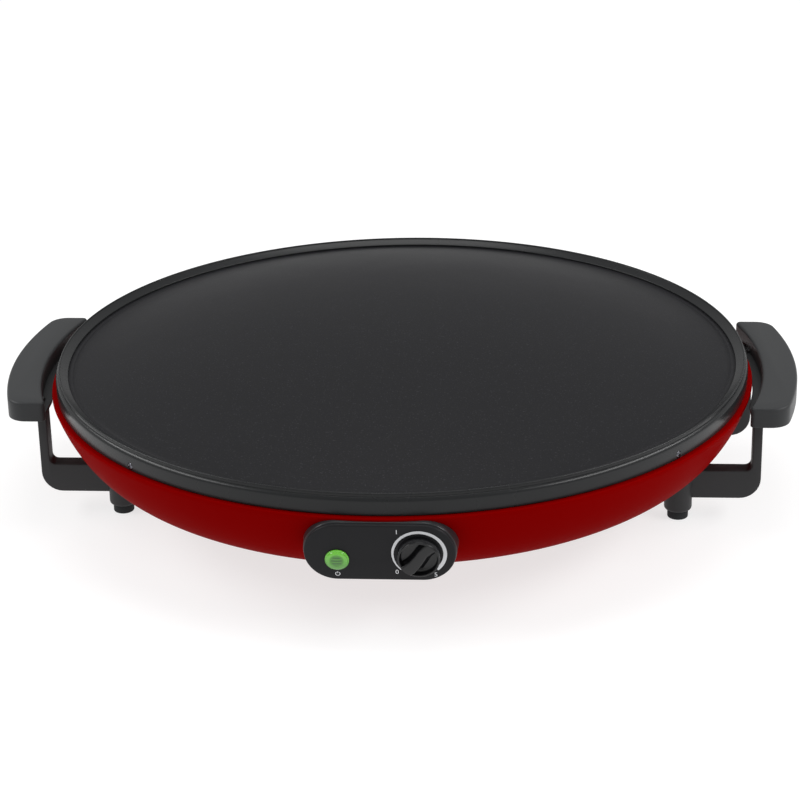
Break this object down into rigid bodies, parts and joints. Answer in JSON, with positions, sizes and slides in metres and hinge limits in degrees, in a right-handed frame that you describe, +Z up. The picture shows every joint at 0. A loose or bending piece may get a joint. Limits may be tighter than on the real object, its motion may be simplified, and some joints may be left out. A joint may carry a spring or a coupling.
{
  "type": "electric roti maker",
  "caption": "Round electric griddle for flatbread: domed plate in a black rim ring over a red steel bowl, with side grips, foot posts and a thermostat panel.",
  "frame": {"origin": "middle of the overall footprint, at the height of the table", "axes": "+X to the user's right, +Y to the rear, away from the control panel, +Z up along the plate's axis"},
  "size_m": [0.5188, 0.4697, 0.1242],
  "materials": {
    "plate_coating": "matte non-stick coating on cast aluminium",
    "gasket_fibre": "woven glass fibre",
    "ring_enamel": "satin black heat-proof coating",
    "bowl_paint": "satin dark red paint",
    "grip_plastic": "satin black heat-proof plastic",
    "arm_plastic": "satin black heat-proof plastic",
    "face_plastic": "fine-grained black plastic",
    "knob_plastic": "satin black plastic",
    "lamp_lens": "clear green plastic",
    "lamp_sleeve": "white nylon",
    "pad_rubber": "black rubber",
    "screw_steel": "zinc-plated steel",
    "bracket_steel": "zinc-plated steel",
    "reflector_sheet": "aluminised steel sheet",
    "heater_sheath": "dull heat-tinted steel sheath",
    "ceramic": "white steatite ceramic",
    "fuse_sleeve": "glass fibre sleeve"
  },
  "bodies": {
    "cooker": {"cooking_plate": "plate_coating", "plate_gasket": "gasket_fibre", "rim_ring": "ring_enamel", "base_shell": "bowl_paint", "left_grip": "grip_plastic", "right_grip": "grip_plastic", "control_housing": "grip_plastic", "cord_gland": "grip_plastic", "gland_nut": "grip_plastic", "left_front_arm": "arm_plastic", "left_rear_arm": "arm_plastic", "right_front_arm": "arm_plastic", "right_rear_arm": "arm_plastic", "control_face": "face_plastic", "power_lamp_lens": "lamp_lens", "power_lamp_body": "lamp_sleeve", "foot_pad_1": "pad_rubber", "foot_pad_2": "pad_rubber", "foot_pad_3": "pad_rubber", "foot_pad_4": "pad_rubber", "rim_screw_1": "screw_steel", "rim_screw_2": "screw_steel", "rim_screw_3": "screw_steel", "rim_screw_4": "screw_steel", "grip_screw_1": "screw_steel", "grip_screw_2": "screw_steel", "grip_screw_3": "screw_steel", "grip_screw_4": "screw_steel", "foot_screw_1": "screw_steel", "foot_screw_2": "screw_steel", "foot_screw_3": "screw_steel", "foot_screw_4": "screw_steel", "housing_screw_1": "screw_steel", "housing_screw_2": "screw_steel", "pillar_screw_1": "screw_steel", "pillar_screw_2": "screw_steel", "pillar_screw_3": "screw_steel", "reflector_screw_1": "screw_steel", "reflector_screw_2": "screw_steel", "reflector_screw_3": "screw_steel", "thermostat_bracket": "bracket_steel", "thermostat_nut": "bracket_steel", "fuse_clip": "bracket_steel", "element_support_1": "bracket_steel", "element_support_2": "bracket_steel", "element_support_3": "bracket_steel", "element_support_4": "bracket_steel", "reflector_pillar_1": "bracket_steel", "reflector_pillar_2": "bracket_steel", "reflector_pillar_3": "bracket_steel", "heat_reflector": "reflector_sheet", "heating_element": "heater_sheath", "thermostat_body": "ceramic", "terminal_block": "ceramic", "thermal_fuse": "fuse_sleeve"},
    "knob": {"thermostat_knob": "knob_plastic", "thermostat_spindle": "bracket_steel"}
  },
  "joints": [
    {"name": "thermostat_turn", "type": "hinge", "parent": "cooker", "child": "knob", "pos_m": [0.0247, -0.22599, 0.05862], "axis": [0, 0.9816, 0.1908], "range_deg": [0, 275]}
  ]
}
